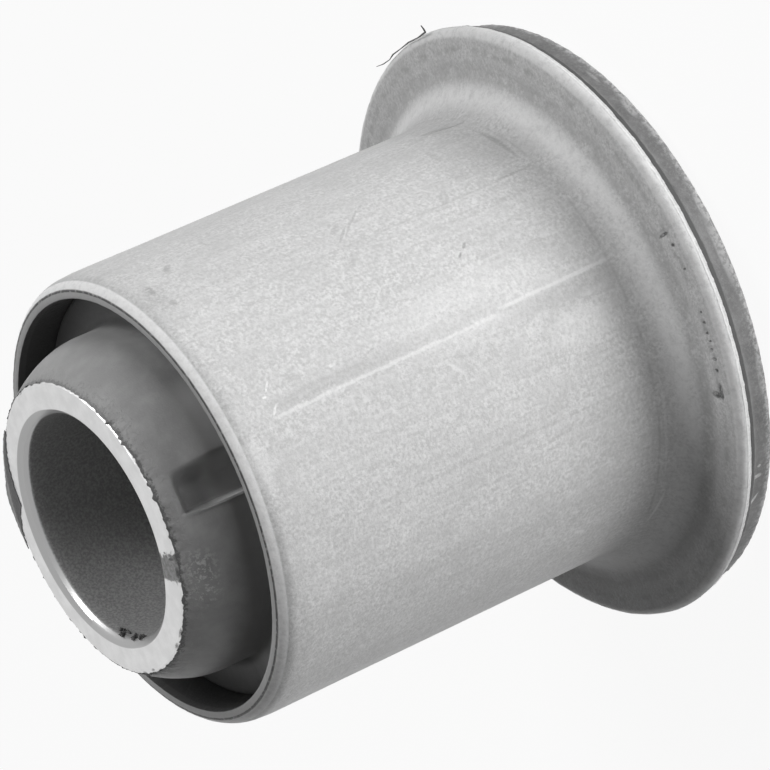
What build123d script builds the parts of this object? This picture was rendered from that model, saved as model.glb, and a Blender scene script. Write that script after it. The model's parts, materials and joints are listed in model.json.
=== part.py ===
from build123d import *
import math
import os

# Flanged rubber-metal bush: a steel tube moulded into rubber inside a drawn steel
# sleeve, whose rear end is flared out to a flange with a rubber pad over its back.
# Millimetres. +Z runs along the bore from the flanged end to the open front, and
# Z = 0 is the rear end of the tube, on which the bush stands.

# Inner tube: cut from thick-walled steel tube, faced and chamfered at both ends
BORE_D = 24.0
TUBE_WALL = 3.5
BORE_CHAMFER = 0.7
TUBE_EDGE_BREAK = 0.3
FRONT_STAND_OUT = 6.0  # the tube past the sleeve's front edge
REAR_STAND_OUT = 1.0  # the tube past the face of the pad

# Outer sleeve: drawn from one sheet, with the flange turned out of it
SHEET = 2.0
SEAT_LENGTH = 50.0  # from the flange's front face to the sleeve's front edge
FLANGE_WIDTH = 8.5  # how far the flange reaches out past the sleeve
FLANGE_BEND = 5.0  # radius of the hollow between sleeve and flange
BEND_FULLNESS = math.sqrt(0.5)  # weight of the bend's corner: this one makes it round
RIM_FRONT_BREAK = 0.8
RIM_REAR_BREAK = 0.4
LEAD_IN_LENGTH = 3.2  # the front end is drawn in a little to enter its eye
LEAD_IN_DROP = 0.15
FRONT_BEVEL = 0.9

# Rubber: fills the sleeve, with a ring-shaped void round a crowned boss at the front
RUBBER_WALL = 6.5  # between tube and sleeve
VOID_WIDTH = 4.0
VOID_DEPTH = 4.2  # below the sleeve's front edge
VOID_ROOT_BREAK = 0.8
BOSS_SETBACK = 0.3  # the rubber runs out on the tube this far behind its front face
CROWN_HEIGHT = 6.3
PAD_THICKNESS = 3.0
PAD_INSET = 1.0  # the pad's rim lies this far inside the flange's rim

# Notch that a core pin left in the boss, at the side that is taken as the front
NOTCH_WIDTH = 3.7
NOTCH_SETBACK = 1.8  # from the boss's tip to the notch's upper end
NOTCH_SKIN = 0.6  # rubber left over the tube under the notch
NOTCH_BEARING = -92.0  # degrees about +Z from +X

# Radii that follow from the walls
bore_r = BORE_D / 2
tube_r = bore_r + TUBE_WALL
sleeve_in_r = tube_r + RUBBER_WALL
sleeve_r = sleeve_in_r + SHEET
flange_r = sleeve_r + FLANGE_WIDTH
pad_r = flange_r - PAD_INSET
boss_r = sleeve_in_r - VOID_WIDTH

# Heights that follow from the stack, from the rear face up
pad_z = REAR_STAND_OUT
flange_back_z = pad_z + PAD_THICKNESS
flange_face_z = flange_back_z + SHEET
sleeve_front_z = flange_face_z + SEAT_LENGTH
tube_front_z = sleeve_front_z + FRONT_STAND_OUT
void_floor_z = sleeve_front_z - VOID_DEPTH
boss_tip_z = tube_front_z - BOSS_SETBACK
crown_z = boss_tip_z - CROWN_HEIGHT
notch_top_z = boss_tip_z - NOTCH_SETBACK
notch_floor_r = tube_r + NOTCH_SKIN
notch_arc = math.degrees(NOTCH_WIDTH / boss_r)


def flared_side(wall_r, top_z, radius, face_z, rim_r):
    """One side of the sheet: down the sleeve's wall, round the bend, out to the rim."""
    wall = Line((wall_r, top_z), (wall_r, face_z + radius))
    bend_end = (wall_r + radius, face_z)
    bend = Bezier(wall @ 1, (wall_r, face_z), bend_end, weights=[1, BEND_FULLNESS, 1])
    Line(bend @ 1, (rim_r, face_z))


# Inner tube
with BuildPart() as inner_tube:
    with BuildSketch(Plane.XY):
        Circle(tube_r)
        Circle(bore_r, mode=Mode.SUBTRACT)
    extrude(amount=tube_front_z)
    end_edges = edges().filter_by(GeomType.CIRCLE).group_by(SortBy.RADIUS)
    chamfer(end_edges[0], BORE_CHAMFER)
    chamfer(end_edges[-1], TUBE_EDGE_BREAK)
inner_tube.part.label = "inner_tube"

# Outer sleeve: both sides of the bent sheet, joined by the rim and the bevelled front
with BuildPart() as outer_sleeve:
    with BuildSketch(Plane.XZ):
        with BuildLine():
            lead_in_z = sleeve_front_z - LEAD_IN_LENGTH
            lead_in_r = sleeve_r - LEAD_IN_DROP
            flared_side(sleeve_r, lead_in_z, FLANGE_BEND, flange_face_z, flange_r)
            flared_side(sleeve_in_r, sleeve_front_z, FLANGE_BEND + SHEET, flange_back_z, flange_r)
            Line((flange_r, flange_face_z), (flange_r, flange_back_z))
            Polyline(
                (sleeve_r, lead_in_z),
                (lead_in_r, sleeve_front_z - FRONT_BEVEL),
                (lead_in_r - FRONT_BEVEL, sleeve_front_z),
                (sleeve_in_r, sleeve_front_z),
            )
        make_face()
        front_corner = vertices().sort_by_distance((flange_r, flange_face_z))[0]
        chamfer(front_corner, min(RIM_FRONT_BREAK, 0.45 * SHEET))
        rear_corner = vertices().sort_by_distance((flange_r, flange_back_z))[0]
        chamfer(rear_corner, min(RIM_REAR_BREAK, 0.45 * SHEET))
    revolve(axis=Axis.Z)
outer_sleeve.part.label = "outer_sleeve"

# Rubber: one moulding, bonded to the tube, to the sleeve and to the flange's back
with BuildPart() as rubber_body:
    with BuildSketch(Plane.XZ):
        with BuildLine():
            flared_side(sleeve_in_r, void_floor_z, FLANGE_BEND + SHEET, flange_back_z, pad_r)
            Polyline(
                (pad_r, flange_back_z),
                (pad_r, pad_z),
                (tube_r, pad_z),
                (tube_r, boss_tip_z),
            )
            TangentArc((boss_r, crown_z), (tube_r, boss_tip_z), tangent=(0, 1))
            Polyline((boss_r, crown_z), (boss_r, void_floor_z), (sleeve_in_r, void_floor_z))
        make_face()
        void_root = vertices().sort_by_distance((boss_r, void_floor_z))[0]
        chamfer(void_root, min(VOID_ROOT_BREAK, 0.45 * VOID_WIDTH))
    revolve(axis=Axis.Z)

    # The notch: a short arc of a ring, cut into the boss down to the floor of the void
    with BuildSketch(Plane.XZ.rotated((0, 0, NOTCH_BEARING - notch_arc / 2))):
        with BuildLine():
            Polyline(
                (notch_floor_r, void_floor_z),
                (boss_r + VOID_WIDTH / 2, void_floor_z),
                (boss_r + VOID_WIDTH / 2, notch_top_z),
                (notch_floor_r, notch_top_z),
                close=True,
            )
        make_face()
    revolve(axis=Axis.Z, revolution_arc=notch_arc, mode=Mode.SUBTRACT)
rubber_body.part.label = "rubber_body"

os.makedirs("parts", exist_ok=True)
export_step(inner_tube.part, "parts/inner_tube.step")
export_step(outer_sleeve.part, "parts/outer_sleeve.step")
export_step(rubber_body.part, "parts/rubber_body.step")
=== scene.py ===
import json
import math
import random

import bmesh
import bpy
from mathutils import Matrix, Quaternion, Vector, noise


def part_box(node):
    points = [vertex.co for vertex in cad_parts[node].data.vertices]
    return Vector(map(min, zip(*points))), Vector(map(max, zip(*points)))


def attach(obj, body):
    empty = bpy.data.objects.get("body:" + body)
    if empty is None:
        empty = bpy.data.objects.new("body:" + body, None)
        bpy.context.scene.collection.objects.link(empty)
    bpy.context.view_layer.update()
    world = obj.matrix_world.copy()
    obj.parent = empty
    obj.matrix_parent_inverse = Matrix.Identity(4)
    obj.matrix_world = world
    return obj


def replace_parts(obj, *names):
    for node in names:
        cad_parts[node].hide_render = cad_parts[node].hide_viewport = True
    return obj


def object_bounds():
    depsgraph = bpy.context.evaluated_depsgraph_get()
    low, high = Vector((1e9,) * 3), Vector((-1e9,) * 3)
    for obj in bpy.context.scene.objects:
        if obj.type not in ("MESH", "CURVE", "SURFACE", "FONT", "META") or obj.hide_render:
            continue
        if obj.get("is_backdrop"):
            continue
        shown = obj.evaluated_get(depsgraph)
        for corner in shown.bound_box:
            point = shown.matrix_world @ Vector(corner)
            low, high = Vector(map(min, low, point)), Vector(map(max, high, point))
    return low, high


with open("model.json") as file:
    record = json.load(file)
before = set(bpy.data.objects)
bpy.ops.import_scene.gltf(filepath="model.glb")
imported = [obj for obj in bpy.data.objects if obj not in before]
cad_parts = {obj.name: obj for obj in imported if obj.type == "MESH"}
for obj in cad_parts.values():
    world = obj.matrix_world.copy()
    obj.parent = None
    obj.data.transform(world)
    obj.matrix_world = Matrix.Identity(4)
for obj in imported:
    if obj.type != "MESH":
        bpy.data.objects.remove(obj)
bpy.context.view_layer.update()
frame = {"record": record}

# Inner tube: thick-walled steel tube, cut off, then faced, chamfered and deburred at both
# ends. Its wall is bonded into the rubber. The end faces are bright with fine turning
# marks, and the bore is left as drawn, dark and grainy.

MM = 0.001
tube_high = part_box("inner_tube")[1]
TUBE_R = tube_high.x / MM
TUBE_TOP = tube_high.z / MM
BORE_R = next(m for m in frame["record"]["mounts"] if m["name"] == "bore")["dims"]["r_mm"]
BORE_CHAMFER = 0.7
CHAMFER_EXTRA = 0.75  # the countersink sat off centre, so it is wider towards one bearing
CHAMFER_DEEP_AT = 82.0
TUBE_EDGE_BREAK = 0.3
MOUTH_R = TUBE_R - 1.4  # the chamfer lies well inside this radius
MID_HEIGHT = 30.0  # marks above it are on the front end
SMEAR = (-122.0, -110.5)  # bearings between which rubber is smeared over the face
STEPS_ROUND = 600


def turned(corners, pitch_at):
    """A turned piece in mm: its section is a closed wire of (radius, height, rounding,
    rows in the rounding) corners, with its runs divided at the pitch wanted there. It is
    spun an eighth of a turn, and that is repeated."""
    bm = bmesh.new()
    spots = [bm.verts.new((r * MM, 0, z * MM)) for r, z, _, _ in corners]
    for pair in zip(spots, spots[1:] + spots[:1]):
        bm.edges.new(pair)
    for spot, (_, _, rounding, rows) in zip(spots, corners):
        if rounding:
            bmesh.ops.bevel(
                bm,
                geom=[spot],
                offset=rounding * MM,
                offset_type="OFFSET",
                affect="VERTICES",
                segments=rows,
                profile=0.5,
                material=-1,
            )
    for run in list(bm.edges):
        middle = (run.verts[0].co + run.verts[1].co) / (2 * MM)
        cuts = math.ceil(run.calc_length() / MM / pitch_at(middle.x, middle.z) - 0.01) - 1
        if cuts > 0:
            bmesh.ops.subdivide_edges(bm, edges=[run], cuts=cuts)
    bmesh.ops.spin(
        bm,
        geom=bm.verts[:] + bm.edges[:],
        cent=(0, 0, 0),
        axis=(0, 0, 1),
        angle=math.tau / 8,
        steps=STEPS_ROUND // 8,
    )
    for eighths in (1, 2, 4):
        copied = bmesh.ops.duplicate(bm, geom=bm.verts[:] + bm.edges[:] + bm.faces[:])
        moved = [g for g in copied["geom"] if isinstance(g, bmesh.types.BMVert)]
        turn = Matrix.Rotation(math.tau / 8 * eighths, 3, "Z")
        bmesh.ops.rotate(bm, verts=moved, cent=(0, 0, 0), matrix=turn)
    bmesh.ops.remove_doubles(bm, verts=bm.verts, dist=0.001 * MM)
    bmesh.ops.recalc_face_normals(bm, faces=bm.faces)
    return bm


def where_is(vert):
    """Radius and height in mm and bearing in degrees of a point of a turned piece."""
    place = vert.co
    turn = math.degrees(math.atan2(place.y, place.x))
    return math.hypot(place.x, place.y) / MM, place.z / MM, turn


def shift(vert, out, up):
    """Moves a point of a turned piece away from the axis and up it, in mm."""
    radius = math.hypot(vert.co.x, vert.co.y)
    vert.co.x += vert.co.x / radius * out * MM
    vert.co.y += vert.co.y / radius * out * MM
    vert.co.z += up * MM


def chance(place, size, seed=0.0):
    """Smooth chance from -1 to 1 that changes over a size in mm."""
    return noise.noise(place / (size * MM) + Vector((seed, 0, 0)))


def piece_of(bm, name, material, sharp_at):
    """The finished mesh as an object that rides with the bush."""
    mesh = bpy.data.meshes.new(name)
    bm.to_mesh(mesh)
    bm.free()
    mesh.shade_smooth()
    mesh.set_sharp_from_angle(angle=math.radians(sharp_at))
    mesh.materials.append(material)
    piece = bpy.data.objects.new(name, mesh)
    bpy.context.scene.collection.objects.link(piece)
    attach(piece, "root")
    return piece


def put(tree, kind, settings=None, **sockets):
    """One shader node: settings are its own, and each socket gets a link or a value."""
    node = tree.nodes.new("ShaderNode" + kind)
    for key, value in (settings or {}).items():
        setattr(node, key, value)
    for key, value in sockets.items():
        place = int(key[1:]) if key[1:].isdigit() else key.replace("_", " ")
        if isinstance(value, bpy.types.NodeSocket):
            tree.links.new(value, node.inputs[place])
        else:
            node.inputs[place].default_value = value
    return node


def calc(tree, operation, first, second=0.0):
    """One step of arithmetic between masks or lengths."""
    return put(tree, "Math", {"operation": operation}, i0=first, i1=second).outputs[0]


def between(tree, value, low, high, at_low=0.0, at_high=1.0):
    """A soft step from at_low to at_high while the value goes from low to high."""
    settings = {"interpolation_type": "SMOOTHSTEP"}
    sockets = {"From_Min": low, "From_Max": high, "To_Min": at_low, "To_Max": at_high}
    return put(tree, "MapRange", settings, Value=value, **sockets).outputs["Result"]


def within(tree, value, low, high, soft):
    """1 where the value lies from low to high, with soft ends."""
    rise = between(tree, value, low - soft, low + soft)
    fall = between(tree, value, high - soft, high + soft, 1.0, 0.0)
    return calc(tree, "MULTIPLY", rise, fall)


def mixed(tree, share, first, second):
    """One colour turning into another."""
    sockets = {"i0": share, "i6": first, "i7": second}
    return put(tree, "Mix", {"data_type": "RGBA"}, **sockets).outputs[2]


def grey(level):
    """A neutral grey."""
    return (level, level, level, 1)


def new_group(name, inputs, outputs):
    """An empty node group with number sockets: its tree, its inputs and its ends."""
    tree = bpy.data.node_groups.new(name, "ShaderNodeTree")
    for label, default in inputs.items():
        socket = tree.interface.new_socket(label, in_out="INPUT", socket_type="NodeSocketFloat")
        socket.default_value = default
    for label in outputs:
        tree.interface.new_socket(label, in_out="OUTPUT", socket_type="NodeSocketFloat")
    start = tree.nodes.new("NodeGroupInput")
    end = tree.nodes.new("NodeGroupOutput")
    return tree, start.outputs, end.inputs


def use(tree, group, **sockets):
    """The outputs of a node group, placed with its own values."""
    return put(tree, "Group", {"node_tree": group}, **sockets).outputs


def position_group():
    """Where a point is on a turned piece: radius and height in mm, bearing in degrees."""
    tree, _, ends = new_group("turned_position", {}, ["Radius", "Height", "Bearing"])
    place = put(tree, "TexCoord").outputs["Object"]
    parts = put(tree, "SeparateXYZ", Vector=place).outputs
    across = calc(tree, "MULTIPLY", parts["X"], parts["X"])
    along = calc(tree, "MULTIPLY", parts["Y"], parts["Y"])
    radius = calc(tree, "SQRT", calc(tree, "ADD", across, along))
    tree.links.new(calc(tree, "MULTIPLY", radius, 1 / MM), ends["Radius"])
    tree.links.new(calc(tree, "MULTIPLY", parts["Z"], 1 / MM), ends["Height"])
    turn = calc(tree, "ARCTAN2", parts["Y"], parts["X"])
    tree.links.new(calc(tree, "MULTIPLY", turn, 180 / math.pi), ends["Bearing"])
    return tree


def grain_group():
    """Grain of a given size in mm, drawn out along the axis by a given stretch."""
    inputs = {"Size": 0.3, "Stretch": 1.0, "Detail": 3.0, "Roughness": 0.6}
    tree, starts, ends = new_group("surface_grain", inputs, ["Grain"])
    place = put(tree, "TexCoord").outputs["Object"]
    parts = put(tree, "SeparateXYZ", Vector=place).outputs
    tall = calc(tree, "DIVIDE", parts["Z"], starts["Stretch"])
    drawn = put(tree, "CombineXYZ", X=parts["X"], Y=parts["Y"], Z=tall).outputs[0]
    scale = calc(tree, "DIVIDE", 1 / MM, starts["Size"])
    sockets = {"Scale": scale, "Detail": starts["Detail"], "Roughness": starts["Roughness"]}
    tree.links.new(put(tree, "TexNoise", Vector=drawn, **sockets).outputs[0], ends["Grain"])
    return tree


def rings_group():
    """Fine rings round the axis, as a turning tool leaves them, by the radius."""
    tree, starts, ends = new_group("turning_marks", {"Radius": 0.0, "Pitch": 0.2}, ["Rings"])
    steps = calc(tree, "DIVIDE", starts["Radius"], starts["Pitch"])
    flat = {"noise_dimensions": "1D"}
    sockets = {"W": steps, "Scale": 1.0, "Detail": 2.0, "Roughness": 0.7}
    tree.links.new(put(tree, "TexNoise", flat, **sockets).outputs[0], ends["Rings"])
    return tree


def mark_group():
    """A single mark on a turned piece: a ragged streak at a bearing and a height (or a
    radius) in mm, leaning by a tilt in degrees."""
    inputs = {
        "Bearing": 0.0,
        "Along": 0.0,
        "Rag": 0.5,
        "At Bearing": 0.0,
        "At": 0.0,
        "Radius": 24.0,
        "Length": 2.0,
        "Width": 0.3,
        "Tilt": 0.0,
    }
    tree, starts, ends = new_group("single_mark", inputs, ["Mask"])
    turn = calc(tree, "SUBTRACT", starts["Bearing"], starts["At Bearing"])
    turn = put(tree, "Math", {"operation": "WRAP"}, i0=turn, i1=180.0, i2=-180.0).outputs[0]
    across = calc(tree, "MULTIPLY", calc(tree, "RADIANS", turn), starts["Radius"])
    along = calc(tree, "SUBTRACT", starts["Along"], starts["At"])
    lean = calc(tree, "RADIANS", starts["Tilt"])
    cos = calc(tree, "COSINE", lean)
    sin = calc(tree, "SINE", lean)
    wide = calc(tree, "MULTIPLY", across, cos)
    wide = calc(tree, "SUBTRACT", wide, calc(tree, "MULTIPLY", along, sin))
    tall = calc(tree, "MULTIPLY", across, sin)
    tall = calc(tree, "ADD", tall, calc(tree, "MULTIPLY", along, cos))
    wide = calc(tree, "DIVIDE", wide, calc(tree, "MULTIPLY", starts["Width"], 0.5))
    tall = calc(tree, "DIVIDE", tall, calc(tree, "MULTIPLY", starts["Length"], 0.5))
    out = calc(tree, "MULTIPLY", wide, wide)
    out = calc(tree, "ADD", out, calc(tree, "MULTIPLY", tall, tall))
    rag = calc(tree, "MULTIPLY", calc(tree, "SUBTRACT", starts["Rag"], 0.5), 2.5)
    edge = calc(tree, "ADD", out, rag)
    tree.links.new(between(tree, edge, 0.3, 1.2, 1.0, 0.0), ends["Mask"])
    return tree


position = position_group()
grain = grain_group()
rings = rings_group()
single_mark = mark_group()


def new_material(name):
    """A material with its Principled shader, and where a point is on the piece."""
    material = bpy.data.materials.new(name)
    material.use_nodes = True
    tree = material.node_tree
    return material, tree, tree.nodes["Principled BSDF"], use(tree, position)


def marked(tree, colour, where, along, rag, radius, marks):
    """The colour with marks on it, broken up by the grain. Each mark is its bearing, its
    place along, length, width, tilt, grey and share."""
    broken = between(tree, rag, 0.35, 0.6, 0.35, 1.0)
    for bearing, at, length, width, tilt, level, share in marks:
        mask = use(
            tree,
            single_mark,
            Bearing=where["Bearing"],
            Along=where[along],
            Rag=rag,
            At_Bearing=bearing,
            At=at,
            Radius=radius or at,
            Length=length,
            Width=width,
            Tilt=tilt,
        )[0]
        strength = calc(tree, "MULTIPLY", calc(tree, "MULTIPLY", mask, share), broken)
        colour = mixed(tree, strength, colour, grey(level))
    return colour


# bearing, radius, length, width, tilt, grey and share of the rubber left on the face
FACE_SPOTS = [
    (-113.2, 14.7, 1.1, 0.35, 10.0, 0.02, 0.9),
    (-118.0, 15.3, 0.4, 1.2, 0.0, 0.04, 0.9),
    (-111.2, 13.8, 0.5, 0.3, 0.0, 0.05, 0.8),
    (-181.5, 15.15, 0.35, 0.8, 0.0, 0.1, 0.8),
    (171.0, 15.3, 0.3, 0.9, 0.0, 0.1, 0.8),
    (-154.0, 15.3, 0.4, 1.0, 0.0, 0.08, 0.8),
    (-146.0, 15.35, 0.3, 1.6, 0.0, 0.1, 0.8),
    (8.0, 15.3, 0.3, 0.8, 0.0, 0.12, 0.7),
    (60.0, 14.6, 1.6, 0.9, -20.0, 0.25, 0.5),
]


def tube_material():
    """Bright faced ends, dark drawn bore, and rubber smeared over one place of the face."""
    material, tree, shader, where = new_material("tube_steel")
    face_rings = use(tree, rings, Radius=where["Radius"], Pitch=0.22)[0]
    cloud = use(tree, grain, Size=1.6)[0]
    fine = use(tree, grain, Size=0.25)[0]
    coarse = use(tree, grain, Size=0.5)[0]
    in_bore = between(tree, where["Radius"], BORE_R + 0.02, BORE_R + 0.14, 1.0, 0.0)
    face = mixed(tree, between(tree, cloud, 0.3, 0.75), grey(0.6), grey(0.68))
    face = mixed(tree, between(tree, face_rings, 0.55, 0.8, 0, 0.25), face, grey(0.5))
    rag = calc(tree, "MULTIPLY", calc(tree, "SUBTRACT", coarse, 0.5), 7.0)
    turn = calc(tree, "ADD", where["Bearing"], rag)
    lean = calc(tree, "SUBTRACT", where["Radius"], TUBE_R)
    smear = within(tree, calc(tree, "SUBTRACT", turn, lean), *SMEAR, 0.8)
    at_front = between(tree, where["Height"], MID_HEIGHT, MID_HEIGHT + 1)
    smear = calc(tree, "MULTIPLY", smear, at_front)
    rubbed_and_highlit = mixed(tree, between(tree, coarse, 0.35, 0.65), grey(0.13), grey(0.26))
    face = mixed(tree, calc(tree, "MULTIPLY", smear, 0.9), face, rubbed_and_highlit)
    face = marked(tree, face, where, "Radius", coarse, None, FACE_SPOTS)
    # the front chamfer is darker than the face
    mouth = between(tree, where["Radius"], MOUTH_R, MOUTH_R + 0.2, 1.0, 0.0)
    high = between(tree, where["Height"], TUBE_TOP - 1, TUBE_TOP - 0.9)
    below = between(tree, where["Height"], TUBE_TOP - 0.06, TUBE_TOP - 0.01, 1.0, 0.0)
    chamfer = calc(tree, "MULTIPLY", calc(tree, "MULTIPLY", mouth, high), below)
    face = mixed(tree, chamfer, face, grey(0.36))
    bore = mixed(tree, between(tree, fine, 0.35, 0.7), grey(0.27), grey(0.42))
    tree.links.new(mixed(tree, in_bore, face, bore), shader.inputs["Base Color"])
    dull = calc(tree, "MAXIMUM", in_bore, smear)
    tree.links.new(between(tree, dull, 0, 1, 0.9, 0.3), shader.inputs["Metallic"])
    tree.links.new(between(tree, dull, 0, 1, 0.36, 0.6), shader.inputs["Roughness"])
    height = calc(tree, "MULTIPLY", face_rings, between(tree, in_bore, 0, 1, 1, 0))
    height = calc(tree, "ADD", height, calc(tree, "MULTIPLY", fine, 0.6))
    bump = put(tree, "Bump", Strength=0.4, Distance=0.00003, Height=height).outputs[0]
    tree.links.new(bump, shader.inputs["Normal"])
    return material


def tube_pitch(radius, height):
    """Length of the rows in mm: short at the faces, long down the bore and bonded wall."""
    if height > TUBE_TOP - 0.8 or height < 0.8:
        return 0.3
    return 1.2 if radius < BORE_R + 1 else 6.0


tube = turned(
    [
        (TUBE_R, 0, TUBE_EDGE_BREAK, 3),
        (TUBE_R, TUBE_TOP, TUBE_EDGE_BREAK, 3),
        (BORE_R + BORE_CHAMFER, TUBE_TOP, 0.1, 2),
        (BORE_R, TUBE_TOP - BORE_CHAMFER, 0.15, 2),
        (BORE_R, BORE_CHAMFER, 0.15, 2),
        (BORE_R + BORE_CHAMFER, 0, 0.1, 2),
    ],
    tube_pitch,
)
# the deburred edge wanders a little, and the face ends at the off-centre countersink
for vert in tube.verts:
    radius, height, turn = where_is(vert)
    if radius > TUBE_R - 0.5 and height > TUBE_TOP - 0.5:
        shift(vert, 0.06 * chance(vert.co, 0.7), 0.03 * chance(vert.co, 0.5, 3))
    elif height > TUBE_TOP - 0.15:
        inward = (TUBE_R - radius) / (TUBE_R - BORE_R - BORE_CHAMFER)
        side = max(math.cos(math.radians(turn - CHAMFER_DEEP_AT)), 0)
        shift(vert, CHAMFER_EXTRA * min(inward, 1) * side, 0)
tube_piece = piece_of(tube, "faced_tube", tube_material(), 30)
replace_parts(tube_piece, "inner_tube")

# Outer sleeve: drawn from one sheet of steel, with the flange turned out of it over a
# round hollow, and a bevel on its front edge. Its matt grey coat shows the grain of the
# sheet, lines along the draw and a few knocks.

sleeve_low, sleeve_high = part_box("outer_sleeve")
FLANGE_R = sleeve_high.x / MM
FLANGE_BACK = sleeve_low.z / MM
SLEEVE_TOP = sleeve_high.z / MM
seat = next(m for m in frame["record"]["mounts"] if m["name"] == "sleeve_outside")
SLEEVE_R = seat["dims"]["r_mm"]
SHEET = 2.0
FLANGE_BEND = 5.0
LEAD_IN_LENGTH = 3.2
LEAD_IN_DROP = 0.15
FRONT_BEVEL = 0.9
BEVEL_ROUNDING = 0.85
RIM_FRONT_ROUNDING = 0.9
RIM_REAR_ROUNDING = 0.8
SLEEVE_IN_R = SLEEVE_R - SHEET
FLANGE_FACE = FLANGE_BACK + SHEET
BEND_TOP = FLANGE_FACE + FLANGE_BEND
LEAD_LOW = SLEEVE_TOP - LEAD_IN_LENGTH
LEAD_R = SLEEVE_R - LEAD_IN_DROP
BEVEL_LOW = SLEEVE_TOP - FRONT_BEVEL
EDGE_R = LEAD_R - FRONT_BEVEL
# height of the ring that the die left, and how far it stands out
DIE_RING = 9.6
DIE_RING_RISE = 0.03
# radii of the painted highlight in the hollow of the bend, of the painted shade at its foot,
# and of the dirt beyond it
HOLLOW_HIGHLIGHT = (25.0, 26.8)
FOOT_SHADE = (27.2, 28.9)
DIRT = (30.0, 30.7)
# the flange's face dips round one radius, and falls away past another
DIP_R = 28.3
DIP_WIDTH = 0.7
DIP_DEPTH = 0.07
FALL_R = 29.0
FALL = 0.024
# the crease: a groove in the upper part of the wall, and a ridge below it
CREASE_LEAN = 0.028  # degrees for each mm above the height where its bearing is taken
CREASE_MIDDLE = 37.0
CREASE_DEPTH = 0.04
CREASE_WIDTH = 1.2
GROOVE_AT = -82.9
RIDGE_AT = -83.0
GROOVE_LOW = 23.5
GROOVE_HIGH = 50.4
# bearings of the painted highlight and of the painted shade beside the crease, and the heights
# that the stretch spans
CREASES = [
    ((-84.0, -83.2), (-82.9, -79.5), GROOVE_LOW, GROOVE_HIGH),
    ((-82.9, -82.0), (-87.5, -83.2), 9.3, 23.0),
]
# bearing, height, length, width, tilt, grey and share
WALL_MARKS = [
    # light and dark lines along the draw
    (-113.6, 30.0, 38.0, 0.45, 0.0, 0.62, 0.45),
    (-112.5, 30.0, 38.0, 0.4, 0.0, 0.4, 0.3),
    (-144.5, 28.0, 30.0, 0.6, 0.0, 0.6, 0.3),
    (-142.0, 28.0, 30.0, 0.6, 0.0, 0.42, 0.25),
    (-51.3, 30.0, 46.0, 0.35, 0.0, 0.38, 0.35),
    (-95.8, 30.0, 40.0, 0.6, 0.0, 0.6, 0.3),
    (-91.0, 20.0, 18.0, 0.5, 0.0, 0.62, 0.35),
    (-75.0, 33.0, 30.0, 0.6, 0.0, 0.6, 0.25),
    (-70.0, 26.0, 24.0, 0.5, 0.0, 0.6, 0.25),
    # scratches and scuffs, and a broad lighter patch
    (-47.2, 32.3, 2.6, 0.35, -42.0, 0.26, 0.5),
    (-46.0, 31.2, 3.2, 0.3, -44.0, 0.3, 0.45),
    (-44.6, 32.5, 2.4, 0.7, -40.0, 0.36, 0.4),
    (-43.2, 29.7, 2.6, 0.3, -40.0, 0.3, 0.5),
    (-41.2, 28.4, 1.4, 0.35, -40.0, 0.34, 0.4),
    (-56.0, 34.0, 2.6, 1.2, -38.0, 0.38, 0.4),
    (-66.2, 23.6, 0.9, 0.35, -42.0, 0.2, 0.7),
    (-64.4, 22.6, 1.1, 0.35, -42.0, 0.22, 0.7),
    (-45.8, 52.2, 0.9, 1.1, 0.0, 0.3, 0.6),
    (-38.5, 52.8, 0.8, 2.4, 0.0, 0.3, 0.6),
    (-32.8, 49.2, 2.0, 0.8, -50.0, 0.26, 0.5),
    (-28.0, 43.7, 0.6, 1.2, 0.0, 0.36, 0.4),
    (-20.3, 12.6, 4.0, 1.0, 8.0, 0.28, 0.5),
    (-50.9, 12.5, 4.4, 0.35, 0.0, 0.28, 0.5),
    (-49.5, 20.5, 3.4, 1.1, -55.0, 0.36, 0.4),
    (-44.0, 17.0, 2.6, 2.6, 0.0, 0.4, 0.35),
    (-33.5, 16.7, 0.9, 3.6, 6.0, 0.38, 0.4),
    (-37.0, 13.0, 6.5, 10.0, 0.0, 0.42, 0.3),
    (-90.8, 30.4, 2.0, 0.6, 55.0, 0.8, 0.6),
    (-148.2, 18.8, 2.0, 0.7, 35.0, 0.78, 0.6),
    (-153.5, 45.5, 0.9, 1.8, -20.0, 0.74, 0.5),
    (-134.2, 50.3, 1.2, 0.7, 0.0, 0.72, 0.5),
    (-120.0, 38.4, 1.6, 1.0, 20.0, 0.66, 0.45),
    (-133.5, 20.8, 1.8, 0.8, -35.0, 0.68, 0.5),
    (-76.6, 49.9, 1.2, 0.25, -50.0, 0.92, 0.9),
    (-78.7, 50.7, 0.6, 0.35, 0.0, 0.92, 0.8),
    (-82.6, 50.4, 1.5, 0.3, -50.0, 0.85, 0.7),
    (-81.6, 50.0, 1.0, 0.25, -30.0, 0.85, 0.6),
    (-76.8, 47.0, 2.4, 0.9, 20.0, 0.34, 0.35),
    (-78.2, 42.6, 0.7, 0.5, 0.0, 0.85, 0.5),
    (-94.0, 15.5, 8.0, 5.0, 0.0, 0.85, 0.45),
    # a broad lighter patch of the wall
    (-78.5, 25.0, 24.0, 8.0, 0.0, 0.85, 0.3),
    (-41.0, 53.2, 3.2, 4.5, 0.0, 0.34, 0.4),
    (-93.0, 54.2, 2.4, 7.0, 0.0, 0.8, 0.4),
    (-38.0, 10.3, 0.7, 7.5, 0.0, 0.24, 0.45),
    (-22.0, 11.2, 3.4, 0.5, 20.0, 0.22, 0.6),
    (-152.0, 8.9, 0.35, 5.5, 8.0, 0.85, 0.6),
    (-126.0, 8.9, 0.3, 13.0, 0.0, 0.72, 0.5),
]
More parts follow.
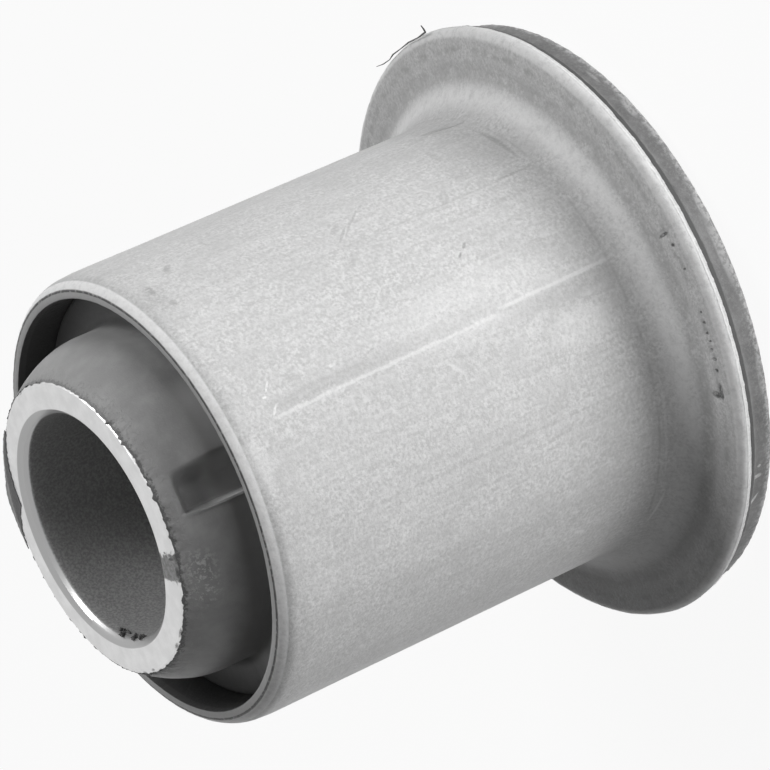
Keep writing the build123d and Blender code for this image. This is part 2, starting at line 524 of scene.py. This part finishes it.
# bearing, radius, and how far they reach along the radius and across it
RIM_CHIPS = [
    (-115.8, 30.35, 0.7, 2.2),
    (-116.9, 29.8, 2.0, 0.9),
    (-83.7, 29.8, 2.2, 0.45),
    (-86.3, 30.4, 0.7, 0.5),
    (-91.2, 30.5, 0.5, 0.3),
    (-111.5, 30.35, 0.6, 0.5),
    (-109.2, 30.4, 0.7, 0.45),
    (-107.3, 30.35, 0.55, 0.4),
    (-105.6, 30.45, 0.5, 0.3),
    (-104.0, 30.4, 0.6, 0.35),
    (-101.9, 30.45, 0.5, 0.4),
    (-99.8, 30.5, 0.45, 0.3),
]
CHIP_DEPTH = 0.16


def creased(tree, colour, where, coarse):
    """The colour with the crease painted on it: each stretch has a painted highlight on one
    side and painted shade on the other.
    """
    rag = calc(tree, "MULTIPLY", calc(tree, "SUBTRACT", coarse, 0.5), 1.2)
    turn = calc(tree, "ADD", where["Bearing"], rag)
    above = calc(tree, "SUBTRACT", where["Height"], CREASE_MIDDLE)
    turn = calc(tree, "ADD", turn, calc(tree, "MULTIPLY", above, CREASE_LEAN))
    lights = []
    painted_shades = []
    for light, shaded_side, low, high in CREASES:
        ends = within(tree, where["Height"], low, high, 0.8)
        lights.append(calc(tree, "MULTIPLY", within(tree, turn, *light, 0.3), ends))
        painted_shades.append(calc(tree, "MULTIPLY", within(tree, turn, *shaded_side, 0.8), ends))
    # painted shade on one side of the crease, then a painted highlight on the other
    for mask in painted_shades:
        colour = mixed(tree, calc(tree, "MULTIPLY", mask, 0.32), colour, grey(0.4))
    for mask in lights:
        colour = mixed(tree, calc(tree, "MULTIPLY", mask, 0.5), colour, grey(0.8))
    return colour


def soiled_and_shaded(tree, colour, where, speck, coarse, cloud):
    """The colour with the ring of the die, painted shade at the foot of the bend, dirt on the
    flange beyond it, and the chips.
    """
    ring = within(tree, where["Height"], DIE_RING - 0.15, DIE_RING + 0.1, 0.1)
    ring = calc(tree, "MULTIPLY", ring, between(tree, cloud, 0.35, 0.6, 0.0, 0.35))
    colour = mixed(tree, ring, colour, grey(0.36))
    # painted shade at the foot of the bend, where the flange turns out
    foot_shade = within(tree, where["Radius"], *FOOT_SHADE, 0.5)
    foot_shade = calc(tree, "MULTIPLY", foot_shade, between(tree, coarse, 0.3, 0.6, 0.1, 0.35))
    colour = mixed(tree, foot_shade, colour, grey(0.3))
    on_face = between(tree, where["Height"], FLANGE_FACE + 0.3, FLANGE_FACE + 0.6, 1.0, 0.0)
    dirt = within(tree, where["Radius"], *DIRT, 0.3)
    dirt = calc(tree, "MULTIPLY", dirt, between(tree, coarse, 0.4, 0.65, 0, 0.4))
    colour = mixed(tree, calc(tree, "MULTIPLY", dirt, on_face), colour, grey(0.25))
    chips = [(at, r, deep, wide, 0.0, 0.06, 0.9) for at, r, deep, wide in RIM_CHIPS]
    chipped = marked(tree, colour, where, "Radius", speck, None, chips)
    return mixed(tree, on_face, colour, chipped)


def painted_highlight_bands(tree, colour, where, speck, coarse):
    """The colour with painted highlights near white: in the hollow of the bend, round the rim
    and on the bevel.
    """
    # painted highlight in the hollow of the bend, and below it a painted highlight round the
    # rim
    hollow = within(tree, where["Radius"], *HOLLOW_HIGHLIGHT, 0.7)
    in_bend = between(tree, where["Height"], BEND_TOP - 1, BEND_TOP, 1.0, 0.0)
    hollow = calc(tree, "MULTIPLY", hollow, in_bend)
    middle = between(tree, where["Height"], FLANGE_BACK + 0.65, FLANGE_BACK + 0.9)
    on_rim = between(tree, where["Radius"], FLANGE_R - 1.0, FLANGE_R - 0.6)
    middle = calc(tree, "MULTIPLY", middle, on_rim)
    rubbed_and_highlit = calc(tree, "MAXIMUM", hollow, middle)
    rubbed_and_highlit = calc(tree, "MULTIPLY", rubbed_and_highlit, between(tree, coarse, 0.3, 0.6, 0.3, 0.6))
    # painted highlight on the bevel
    bevel = between(tree, where["Height"], BEVEL_LOW - 0.05, BEVEL_LOW + 0.15)
    bevel = calc(tree, "MULTIPLY", bevel, between(tree, speck, 0.3, 0.6, 0.75, 1.0))
    return mixed(tree, calc(tree, "MAXIMUM", rubbed_and_highlit, bevel), colour, grey(0.93))


def sawn_edge(tree, colour, where, speck, coarse):
    """The colour with the darker sawn end, a thin dark line of painted shade along its outer
    edge, and the inner wall painted nearly black as shade.
    """
    at_end = between(tree, where["Height"], SLEEVE_TOP - 0.12, SLEEVE_TOP - 0.02)
    colour = mixed(tree, calc(tree, "MULTIPLY", at_end, 0.8), colour, grey(0.34))
    rag = calc(tree, "MULTIPLY", calc(tree, "SUBTRACT", coarse, 0.5), 0.12)
    ragged = calc(tree, "ADD", where["Radius"], rag)
    # painted shade: a thin dark line standing in for a fine groove at the outer edge of the end
    edge_line_shade = within(tree, ragged, EDGE_R - 0.22, EDGE_R + 0.08, 0.06)
    edge_line_shade = calc(tree, "MULTIPLY", edge_line_shade, between(tree, speck, 0.3, 0.5, 0.3, 0.9))
    colour = mixed(tree, calc(tree, "MULTIPLY", edge_line_shade, at_end), colour, grey(0.04))
    # painted shade: the inner wall of the mouth made nearly black
    inner_wall_shade = between(tree, where["Radius"], SLEEVE_IN_R + 0.03, SLEEVE_IN_R + 0.1, 1.0, 0.0)
    return mixed(tree, calc(tree, "MULTIPLY", inner_wall_shade, 0.92), colour, grey(0.035))


def sleeve_material():
    """Matt grey coated steel: grain, draw lines and dark marks, with painted highlights and
    painted shade.
    """
    material, tree, shader, where = new_material("sleeve_steel")
    fine = use(tree, grain, Size=0.35, Detail=2.0, Roughness=0.7)[0]
    speck = use(tree, grain, Size=0.5, Detail=2.0)[0]
    coarse = use(tree, grain, Size=1.1, Detail=4.0)[0]
    lines = use(tree, grain, Size=0.45, Stretch=26.0)[0]
    cloud = use(tree, grain, Size=4.0, Stretch=1.6)[0]
    colour = mixed(tree, between(tree, fine, 0.3, 0.7), grey(0.47), grey(0.69))
    colour = mixed(tree, between(tree, coarse, 0.35, 0.7, 0, 0.5), colour, grey(0.5))
    colour = mixed(tree, between(tree, lines, 0.4, 0.7, 0, 0.3), colour, grey(0.7))
    colour = mixed(tree, between(tree, cloud, 0.4, 0.7, 0, 0.35), colour, grey(0.48))
    colour = creased(tree, colour, where, coarse)
    colour = marked(tree, colour, where, "Height", speck, SLEEVE_R, WALL_MARKS)
    colour = soiled_and_shaded(tree, colour, where, speck, coarse, cloud)
    colour = painted_highlight_bands(tree, colour, where, speck, coarse)
    colour = sawn_edge(tree, colour, where, speck, coarse)
    tree.links.new(colour, shader.inputs["Base Color"])
    tree.links.new(between(tree, fine, 0.3, 0.7, 0.4, 0.58), shader.inputs["Roughness"])
    shader.inputs["Specular IOR Level"].default_value = 0.2
    height = calc(tree, "ADD", fine, calc(tree, "MULTIPLY", lines, 0.6))
    height = calc(tree, "ADD", height, calc(tree, "MULTIPLY", coarse, 2.0))
    bump = put(tree, "Bump", Strength=0.7, Distance=0.00005, Height=height).outputs[0]
    tree.links.new(bump, shader.inputs["Normal"])
    return material


def step(value, low, high):
    """0 below low and 1 above high, smooth between."""
    share = min(max((value - low) / (high - low), 0), 1)
    return share * share * (3 - 2 * share)


def sleeve_pitch(radius, height):
    """Length of the rows in mm: short on flange, rim and front edge, longer on the wall."""
    if height > LEAD_LOW:
        return 0.35 if radius > SLEEVE_IN_R + 0.1 else 0.7
    if radius > SLEEVE_R + FLANGE_BEND and height > FLANGE_BACK + 0.3:
        return 0.25
    return 0.8 if radius > SLEEVE_R - 0.5 and height > FLANGE_FACE else 5.0


sleeve = turned(
    [
        (SLEEVE_IN_R, SLEEVE_TOP, 0.15, 2),
        (SLEEVE_IN_R, FLANGE_BACK, FLANGE_BEND + SHEET, 8),
        (FLANGE_R, FLANGE_BACK, RIM_REAR_ROUNDING, 4),
        (FLANGE_R, FLANGE_FACE, RIM_FRONT_ROUNDING, 5),
        (SLEEVE_R, FLANGE_FACE, FLANGE_BEND, 18),
        (SLEEVE_R, LEAD_LOW, 0, 0),
        (LEAD_R, BEVEL_LOW, BEVEL_ROUNDING, 5),
        (EDGE_R, SLEEVE_TOP, 0.2, 2),
    ],
    sleeve_pitch,
)
# what shows of the sheet is slightly uneven, the flange and its rim the most
for vert in sleeve.verts:
    radius, height, turn = where_is(vert)
    if radius < SLEEVE_R - 0.4 and height < LEAD_LOW:
        continue
    out = 0.02 * chance(vert.co, 6) + 0.006 * chance(vert.co, 1.2)
    up = 0
    if radius > SLEEVE_R + 2 and height > FLANGE_BACK + 1:
        up -= DIP_DEPTH * math.exp(-(((radius - DIP_R) / DIP_WIDTH) ** 2))
        up -= FALL * max(radius - FALL_R, 0) ** 2
        up += 0.015 * chance(vert.co, 4, 3)
        for at, chip_r, deep, wide in RIM_CHIPS:
            if abs(turn - at) < 3:
                across = math.radians(turn - at) * radius / wide
                reach = math.hypot(across, (radius - chip_r) / deep)
                up -= CHIP_DEPTH * (1 - step(reach, 0.2, 0.6))
    if radius > FLANGE_R - 1.2:
        up += 0.03 * chance(vert.co, 1.5, 5) + 0.015 * chance(vert.co, 0.5, 2)
        out += 0.03 * chance(vert.co, 2.0, 7)
    elif height > SLEEVE_TOP - 0.5:
        up += 0.02 * chance(vert.co, 0.8, 4)
        out += 0.03 * chance(vert.co, 0.6, 1)
    if radius < SLEEVE_R + 1.5 and height < LEAD_LOW:
        out += DIE_RING_RISE * math.exp(-(((height - DIE_RING) / 0.3) ** 2))
        lean = turn + (height - CREASE_MIDDLE) * CREASE_LEAN
        if GROOVE_LOW < height < GROOVE_HIGH:
            out -= CREASE_DEPTH * math.exp(-(((lean - GROOVE_AT) / CREASE_WIDTH) ** 2))
        elif DIE_RING < height <= GROOVE_LOW:
            out += CREASE_DEPTH * math.exp(-(((lean - RIDGE_AT) / CREASE_WIDTH) ** 2))
    shift(vert, out, up)
sleeve_piece = piece_of(sleeve, "drawn_sleeve", sleeve_material(), 30)
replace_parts(sleeve_piece, "outer_sleeve")

# Rubber: one moulding, bonded to tube and sleeve. A crowned boss with a ring-shaped void
# round it at the front, a notch left by a core pin, the filling of the sleeve, and the
# pad over the back of the flange.

rubber_low, rubber_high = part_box("rubber_body")
PAD_R = rubber_high.x / MM
PAD_REAR = rubber_low.z / MM
BOSS_TIP = rubber_high.z / MM
VOID_WIDTH = 4.0
VOID_DEPTH = 4.2
CROWN_HEIGHT = 6.3
NOTCH_SKIN = 0.6
NOTCH_SETBACK = 1.8
BOSS_R = SLEEVE_IN_R - VOID_WIDTH
CROWN_LOW = BOSS_TIP - CROWN_HEIGHT
VOID_FLOOR = SLEEVE_TOP - VOID_DEPTH
NOTCH_FLOOR_R = TUBE_R + NOTCH_SKIN
NOTCH_TOP = BOSS_TIP - NOTCH_SETBACK
NOTCH_SHARP = -98.0  # bearings of its sharp side, and of its soft side's foot and brow
NOTCH_SOFT = (-90.0, -82.8)
BOSS_LOW = 50.0  # bonded rubber and the pad lie below this height, void and boss above it
# bearings of the side with painted light, of the scuffs, and of the painted light low on the
# boss's side
LIT_SIDE_BEARINGS = (-55.0, 25.0)
SCUFFED = (-131.0, -113.0)
LIT_LOW_BEARINGS = (-176.0, -60.0)
SCUFF_HEIGHTS = (58.8, 61.2)
# bearing, height, length, width, tilt, grey and share of the marks on the pad's rim
PAD_MARKS = [
    (-141.7, 3.0, 2.2, 0.4, -52.0, 0.6, 0.9),
    (-135.8, 2.8, 1.2, 0.6, 0.0, 0.5, 0.8),
    (-133.6, 2.6, 0.5, 0.5, 0.0, 0.55, 0.8),
    (-91.0, 1.9, 0.9, 8.0, 0.0, 0.4, 0.6),
    (-82.0, 1.7, 0.6, 3.0, 0.0, 0.42, 0.6),
    (-59.0, 1.9, 0.8, 3.0, 0.0, 0.42, 0.6),
    (-49.0, 2.2, 0.5, 2.5, 0.0, 0.36, 0.5),
    (-115.0, 1.8, 0.6, 4.0, 0.0, 0.34, 0.5),
    (-77.3, 3.3, 0.7, 1.1, 0.0, 0.04, 0.7),
    (-60.5, 3.5, 0.6, 0.9, 0.0, 0.04, 0.7),
]


def crown_corner():
    """Where the tangents of the boss's side and of its tip meet, and how far off."""
    inward = BOSS_R - TUBE_R
    tall = BOSS_TIP - CROWN_LOW
    radius = (inward**2 + tall**2) / (2 * inward)
    reach = radius * math.tan(math.asin(tall / radius) / 2)
    return CROWN_LOW + reach, reach


def flecks_and_gap_shade(tree, colour, where, torn, flecks, by_tube):
    """The colour with pale flecks near the tube, and a ragged dark line of painted shade where
    the rubber meets the tube.
    """
    colour = mixed(tree, calc(tree, "MULTIPLY", flecks, 0.55), colour, grey(0.3))
    # painted shade of the gap along the tube, torn ragged
    rag = calc(tree, "MULTIPLY", calc(tree, "SUBTRACT", torn, 0.5), 1.2)
    edge = calc(tree, "ADD", where["Radius"], rag)
    edge = between(tree, edge, TUBE_R + 0.1, TUBE_R + 0.35, 1.0, 0.0)
    edge = calc(tree, "MULTIPLY", edge, by_tube)
    return mixed(tree, calc(tree, "MULTIPLY", edge, 0.8), colour, grey(0.04))


def boss_shades(tree, colour, where, torn):
    """The colour with painted shade towards the void's floor and in the notch, painted light
    low on the boss's side and on one side of the boss, and scuffs.
    """
    in_front = between(tree, where["Height"], BOSS_LOW, BOSS_LOW + 0.5)
    # painted shade towards the floor of the void
    deep = between(tree, where["Height"], VOID_FLOOR + 0.2, VOID_FLOOR + 1.4, 1.0, 0.0)
    deep = calc(tree, "MULTIPLY", deep, in_front)
    colour = mixed(tree, calc(tree, "MULTIPLY", deep, 0.5), colour, grey(0.03))
    # painted shade in the notch
    notch_shade = within(tree, where["Bearing"], NOTCH_SHARP - 0.3, NOTCH_SOFT[1] - 1.0, 1.2)
    sunk = between(tree, where["Radius"], BOSS_R - 0.8, BOSS_R, 1.0, 0.0)
    inside = within(tree, where["Height"], CROWN_LOW + 1.0, NOTCH_TOP - 0.6, 1.2)
    notch_shade = calc(tree, "MULTIPLY", notch_shade, calc(tree, "MULTIPLY", sunk, inside))
    colour = mixed(tree, calc(tree, "MULTIPLY", notch_shade, 0.5), colour, grey(0.06))
    # painted light: the boss's side made lighter low down, against the shade of the void
    painted_light_low = within(tree, where["Bearing"], *LIT_LOW_BEARINGS, 6.0)
    low = between(tree, where["Height"], CROWN_LOW - 1.0, CROWN_LOW + 2.5, 0.65, 0.0)
    painted_light_low = calc(tree, "MULTIPLY", painted_light_low, calc(tree, "MULTIPLY", low, in_front))
    colour = mixed(tree, painted_light_low, colour, grey(0.6))
    # painted light: the boss made lighter on the side the light falls on
    painted_light_side = within(tree, where["Bearing"], *LIT_SIDE_BEARINGS, 25.0)
    high = between(tree, where["Height"], BOSS_LOW + 3, BOSS_LOW + 4.5, 0.0, 0.3)
    colour = mixed(tree, calc(tree, "MULTIPLY", painted_light_side, high), colour, grey(0.5))
    scuffed = within(tree, where["Bearing"], *SCUFFED, 5.0)
    by_tip = within(tree, where["Height"], *SCUFF_HEIGHTS, 1.0)
    scuffed = calc(tree, "MULTIPLY", scuffed, by_tip)
    scuffed = calc(tree, "MULTIPLY", scuffed, between(tree, torn, 0.5, 0.58))
    return mixed(tree, calc(tree, "MULTIPLY", scuffed, 0.75), colour, grey(0.6))


def rim_shades(tree, colour, where, torn):
    """The colour with dust, a lighter rear edge, the lip over the flange's corner painted near
    black as shade, and marks on the pad's rim.
    """
    rim = between(tree, where["Radius"], PAD_R - 1.5, PAD_R - 0.8)
    dust = calc(tree, "MULTIPLY", rim, between(tree, torn, 0.45, 0.65, 0.0, 0.3))
    rearward = between(tree, where["Height"], PAD_REAR + 0.2, PAD_REAR + 2.6, 1.0, 0.3)
    colour = mixed(tree, calc(tree, "MULTIPLY", dust, rearward), colour, grey(0.34))
    rear = between(tree, where["Height"], PAD_REAR + 0.4, PAD_REAR + 1.0, 1.0, 0.0)
    rear = calc(tree, "MULTIPLY", rear, rim)
    rear = calc(tree, "MULTIPLY", rear, between(tree, torn, 0.4, 0.6, 0.15, 0.75))
    colour = mixed(tree, rear, colour, grey(0.42))
    # painted shade: the lip over the flange's rear corner made near black
    lip = between(tree, where["Radius"], PAD_R + 0.1, PAD_R + 0.4)
    colour = mixed(tree, lip, colour, grey(0.035))
    marks = marked(tree, colour, where, "Height", torn, PAD_R, PAD_MARKS)
    return mixed(tree, rim, colour, marks)


def rubber_material():
    """Dull grey-black moulded rubber with a dusty haze, torn by the tube; the boss carries
    painted light and painted shade.
    """
    material, tree, shader, where = new_material("moulded_rubber")
    fine = use(tree, grain, Size=0.2, Detail=3.0)[0]
    torn = use(tree, grain, Size=0.45, Detail=4.0, Roughness=0.7)[0]
    cloud = use(tree, grain, Size=3.0)[0]
    # the boss is painted lighter than the pad of the same rubber: painted light
    pad = mixed(tree, between(tree, cloud, 0.3, 0.75), grey(0.1), grey(0.15))
    boss = mixed(tree, between(tree, cloud, 0.3, 0.75), grey(0.225), grey(0.315))
    colour = mixed(tree, between(tree, where["Height"], BOSS_LOW, BOSS_LOW + 3), pad, boss)
    colour = mixed(tree, between(tree, fine, 0.45, 0.8, 0, 0.3), colour, grey(0.34))
    by_tube = between(tree, where["Height"], BOSS_TIP - 2.0, BOSS_TIP - 0.8)
    flecks = calc(tree, "MULTIPLY", by_tube, between(tree, torn, 0.5, 0.66))
    colour = flecks_and_gap_shade(tree, colour, where, torn, flecks, by_tube)
    colour = boss_shades(tree, colour, where, torn)
    colour = rim_shades(tree, colour, where, torn)
    tree.links.new(colour, shader.inputs["Base Color"])
    tree.links.new(between(tree, fine, 0.3, 0.7, 0.48, 0.62), shader.inputs["Roughness"])
    height = calc(tree, "ADD", fine, calc(tree, "MULTIPLY", flecks, 3.0))
    bump = put(tree, "Bump", Strength=0.4, Distance=0.00005, Height=height).outputs[0]
    tree.links.new(bump, shader.inputs["Normal"])
    return material


def rubber_pitch(radius, height):
    """Length of the rows in mm: short where the rubber shows, long where it is bonded."""
    if height > VOID_FLOOR - 0.1 and radius > TUBE_R + 0.01:
        return 0.35
    if radius > PAD_R - 0.6 and height < FLANGE_BACK:
        return 0.3
    return 0.8 if height < PAD_REAR + 0.1 else 6.0


crown_z, crown_reach = crown_corner()
rubber = turned(
    [
        (TUBE_R, BOSS_TIP, 0, 0),
        (BOSS_R, crown_z, crown_reach - 0.05, 20),
        (BOSS_R, VOID_FLOOR, 0.9, 4),
        (SLEEVE_IN_R, VOID_FLOOR, 0.3, 3),
        (SLEEVE_IN_R, FLANGE_BACK, FLANGE_BEND + SHEET, 8),
        # the thin lip that runs up over the rounded corner of the flange, painted near black as
        # the shade between flange and pad
        (FLANGE_R - 0.9, FLANGE_BACK, 0, 0),
        (FLANGE_R - 0.05, FLANGE_BACK + 0.48, 0, 0),
        (FLANGE_R - 0.2, FLANGE_BACK - 0.1, 0.15, 2),
        (PAD_R, FLANGE_BACK - 0.7, 0.3, 3),
        (PAD_R, PAD_REAR, 0.4, 4),
        (TUBE_R, PAD_REAR, 0.3, 3),
    ],
    rubber_pitch,
)
# the boss is ripped along the tube and has the notch, and the pad's rim is rough
for vert in rubber.verts:
    radius, height, turn = where_is(vert)
    out = 0
    up = 0
    if height > VOID_FLOOR + 0.05 and radius < BOSS_R + 0.5:
        if radius > TUBE_R + 0.01:
            out += 0.03 * chance(vert.co, 2.5)
        ripped = step(height, BOSS_TIP - 1.8, BOSS_TIP - 0.4)
        out += ripped * (0.08 * chance(vert.co, 0.6, 2) + 0.06 * chance(vert.co, 0.3, 4))
        up += ripped * 0.1 * chance(vert.co, 0.5, 6)
        lip = step(height, BOSS_TIP - 0.9, BOSS_TIP - 0.2)
        up += lip * (0.12 + 0.35 * max(chance(vert.co, 0.45, 8), 0))
        if NOTCH_SHARP - 3 < turn < NOTCH_SOFT[1] + 1 and height < NOTCH_TOP + 0.5:
            sharp = step(turn, NOTCH_SHARP - 0.3, NOTCH_SHARP + 0.3)
            soft = 1 - step(turn, *NOTCH_SOFT)
            low = 1 - step(height, NOTCH_TOP - 0.5, NOTCH_TOP + 0.4)
            out -= sharp * soft * low * max(radius - NOTCH_FLOOR_R, 0)
            out += 0.1 * math.exp(-(((turn - NOTCH_SHARP + 0.9) / 0.5) ** 2)) * low
    elif radius > PAD_R - 0.5 and height < FLANGE_BACK + 0.5:
        out += 0.05 * chance(vert.co, 1.0) + 0.04 * chance(vert.co, 0.3, 2) - 0.03
        out += 0.05 * chance(Vector((vert.co.x, vert.co.y, 0)), 0.6, 5)
    elif height < PAD_REAR + 0.1 and radius > TUBE_R + 0.5:
        up += 0.04 * chance(vert.co, 3) + 0.02 * chance(vert.co, 1)
    shift(vert, out, up)
rubber_piece = piece_of(rubber, "moulded_rubber", rubber_material(), 40)
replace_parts(rubber_piece, "rubber_body")


# Flash of the moulding: a torn flap over the edge of the tube's front face, a whisker
# that peels off the flange's rim, and crumbs of rubber in the mouth of the bore.

EDGE_DEGREE = 0.27  # a degree along the tube's outer edge, in mm


def flap(bearings, inner, outer, high, thick):
    """A torn sheet of flash round the axis: inner and outer radii go with the bearings."""
    bm = bmesh.new()
    bmesh.ops.create_grid(bm, x_segments=140, y_segments=8, size=0.5)
    for vert in bm.verts:
        place = (vert.co.x + 0.5) * (len(bearings) - 1)
        left = min(int(place), len(bearings) - 2)
        share = place - left
        turn = bearings[left] * (1 - share) + bearings[left + 1] * share
        near = inner[left] * (1 - share) + inner[left + 1] * share
        far = outer[left] * (1 - share) + outer[left + 1] * share
        spot = Vector((turn * EDGE_DEGREE * MM, 0, 0))
        near += 0.18 * chance(spot, 0.7, 1) + 0.1 * chance(spot, 0.25, 2)
        far += 0.12 * chance(spot, 0.6, 3) + 0.08 * chance(spot, 0.25, 4)
        radius = near + (max(far, near + 0.05) - near) * (vert.co.y + 0.5)
        height = high - 0.25 * step(radius, TUBE_R - 0.2, TUBE_R + 0.9)
        height += 0.03 * chance(Vector((turn * EDGE_DEGREE, radius, 0)) * MM, 0.5, 5)
        angle = math.radians(turn)
        vert.co = Vector((math.cos(angle) * radius, math.sin(angle) * radius, height)) * MM
    bmesh.ops.solidify(bm, geom=bm.faces[:], thickness=thick * MM)
    bmesh.ops.recalc_face_normals(bm, faces=bm.faces)
    return bm


moulded = rubber_piece.data.materials[0]
torn_flap = flap(
    (36, 46, 54, 60, 65, 68, 73, 80, 87),
    (15.3, 15.1, 14.7, 14.4, 14.0, 13.8, 14.5, 15.3, 15.7),
    (15.6, 15.9, 16.1, 16.4, 16.7, 16.8, 16.6, 16.3, 15.8),
    TUBE_TOP + 0.06,
    0.1,
)
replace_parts(piece_of(torn_flap, "torn_flap", moulded, 40), "rubber_body")

WHISKER_R = 0.07
WHISKER_SIDES = 6
# bearing, radius, height and thickness along the whisker
WHISKER = [
    (-7.0, 33.5, 6.4, 1.0),
    (-6.5, 33.1, 6.1, 1.5),
    (-5.8, 32.7, 5.8, 1.6),
    (-2.4, 32.45, 5.75, 1.0),
    (1.5, 32.5, 5.7, 1.2),
    (5.2, 32.45, 5.7, 0.8),
    (8.4, 32.55, 5.75, 1.2),
    (10.5, 32.45, 5.7, 0.7),
    (12.9, 32.65, 5.8, 0.9),
    (15.2, 33.1, 5.9, 0.5),
]
whisker = bmesh.new()
loops = []
for turn, radius, height, swell in WHISKER:
    thick = WHISKER_R * swell * MM
    loop = bmesh.ops.create_circle(whisker, segments=WHISKER_SIDES, radius=thick)["verts"]
    across = Matrix.Rotation(math.radians(90), 3, "X")
    bmesh.ops.rotate(whisker, verts=loop, matrix=across)
    bmesh.ops.translate(whisker, verts=loop, vec=(radius * MM, 0, height * MM))
    about = Matrix.Rotation(math.radians(turn), 3, "Z")
    bmesh.ops.rotate(whisker, verts=loop, cent=(0, 0, 0), matrix=about)
    loops.append(loop)
for before, after in zip(loops, loops[1:]):
    for side in range(WHISKER_SIDES):
        corner = (side + 1) % WHISKER_SIDES
        whisker.faces.new((before[side], before[corner], after[corner], after[side]))
whisker.faces.new(loops[0])
whisker.faces.new(loops[-1])
bmesh.ops.recalc_face_normals(whisker, faces=whisker.faces)
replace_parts(piece_of(whisker, "rim_whisker", moulded, 60), "rubber_body")

CRUMBS = 26
CRUMB_R = 0.16
CRUMB_BEARINGS = (149, 173)
crumbs = bmesh.new()
dice = random.Random(4)
for _ in range(CRUMBS):
    turn = math.radians(dice.uniform(*CRUMB_BEARINGS))
    radius = BORE_R - dice.uniform(0.02, 0.2)
    height = TUBE_TOP - dice.uniform(0.55, 1.5)
    crumb = bmesh.ops.create_icosphere(crumbs, subdivisions=1, radius=CRUMB_R * MM)["verts"]
    for vert in crumb:
        vert.co *= dice.uniform(0.5, 1.5)
        vert.co.z *= dice.uniform(0.8, 1.6)
    spot = (math.cos(turn) * radius * MM, math.sin(turn) * radius * MM, height * MM)
    bmesh.ops.translate(crumbs, verts=crumb, vec=spot)
bmesh.ops.recalc_face_normals(crumbs, faces=crumbs.faces)
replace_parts(piece_of(crumbs, "rubber_crumbs", moulded, 60), "rubber_body")

# Floor, lamps and camera: the plain white table of a product photograph, under soft
# lamps, with the camera where the photograph was taken from.

FLOOR_REACH = 3  # metres from the bush to the floor's edge
FLOOR_WHITE = 0.93  # share of plain white, the rest takes light and shadow
AMBIENT = 0.05  # the room's light on the bush, against 1 where it is seen or mirrored
floor_mesh = bmesh.new()
bmesh.ops.create_grid(floor_mesh, x_segments=1, y_segments=1, size=FLOOR_REACH)
floor_data = bpy.data.meshes.new("floor")
floor_mesh.to_mesh(floor_data)
floor_mesh.free()
floor = bpy.data.objects.new("floor", floor_data)
floor.visible_shadow = False
bpy.context.scene.collection.objects.link(floor)
floor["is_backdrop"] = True


def seen_directly(tree):
    """1 for rays from the camera and for those that mirror or pass through a surface."""
    path = put(tree, "LightPath").outputs
    direct = calc(tree, "MAXIMUM", path["Is Camera Ray"], path["Is Glossy Ray"])
    return calc(tree, "MAXIMUM", direct, path["Is Transmission Ray"])


def floor_material():
    """White as the camera sees it, with a trace of the object's own shadow."""
    material = bpy.data.materials.new("floor")
    material.use_nodes = True
    tree = material.node_tree
    matt = tree.nodes["Principled BSDF"]
    matt.inputs["Base Color"].default_value = grey(0.8)
    matt.inputs["Roughness"].default_value = 1.0
    light = put(tree, "Emission", Color=grey(1), Strength=1.0).outputs[0]
    share = calc(tree, "MULTIPLY", seen_directly(tree), FLOOR_WHITE)
    shown = put(tree, "MixShader", i0=share, i1=matt.outputs[0], i2=light).outputs[0]
    tree.links.new(shown, tree.nodes["Material Output"].inputs["Surface"])
    return material


floor_data.materials.append(floor_material())

world = bpy.data.worlds.new("studio")
world.use_nodes = True
bpy.context.scene.world = world
sky = world.node_tree.nodes["Background"]
ambient = between(world.node_tree, seen_directly(world.node_tree), 0, 1, AMBIENT, 1.0)
world.node_tree.links.new(ambient, sky.inputs["Strength"])
sky.inputs["Color"].default_value = grey(1)

LAMP_DISTANCE = 0.8
LAMP_AIM = Vector((0, 0, 0.03))
# bearing and rise in degrees, width and height in metres, and watts
LAMPS = {
    "key": (-90, -45, 0.72, 0.5, 8.4),
    "level": (-80, -5, 0.4, 0.4, 0.95),
    "low": (-152, -25, 0.34, 0.4, 0.7),
    "top": (-8, 43, 0.34, 0.34, 3.6),
    "back": (98, -15, 0.4, 0.4, 0.8),
}


def lamp(name, turn, rise, wide, tall, power):
    """A soft lamp that looks at the middle of the bush from a bearing and rise."""
    data = bpy.data.lights.new(name, "AREA")
    data.shape = "RECTANGLE"
    data.size = wide
    data.size_y = tall
    data.energy = power
    out = Vector(
        (
            math.cos(math.radians(turn)) * math.cos(math.radians(rise)),
            math.sin(math.radians(turn)) * math.cos(math.radians(rise)),
            math.sin(math.radians(rise)),
        )
    )
    made = bpy.data.objects.new(name, data)
    made.location = LAMP_AIM + out * LAMP_DISTANCE
    made.rotation_euler = (-out).to_track_quat("-Z", "Y").to_euler()
    bpy.context.scene.collection.objects.link(made)


for name, settings in LAMPS.items():
    lamp(name, *settings)

CAMERA_SENSOR = 36
CAMERA_LENS = 257.588
CAMERA_PLACE = Vector((0.000012, -0.492805, 0.293217))
CAMERA_TARGET = Vector((0.001106, -0.000002, 0.025325))
CAMERA_ROLL = -114.2253
camera_data = bpy.data.cameras.new("camera")
camera_data.sensor_width = CAMERA_SENSOR
camera_data.lens = CAMERA_LENS
camera = bpy.data.objects.new("camera", camera_data)
bpy.context.scene.collection.objects.link(camera)
bpy.context.scene.camera = camera
camera.location = CAMERA_PLACE
sight = (CAMERA_TARGET - CAMERA_PLACE).to_track_quat("-Z", "Y")
camera.rotation_mode = "QUATERNION"
camera.rotation_quaternion = sight @ Quaternion((0, 0, 1), math.radians(CAMERA_ROLL))
bpy.context.scene.view_settings.view_transform = "Standard"

low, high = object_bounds()
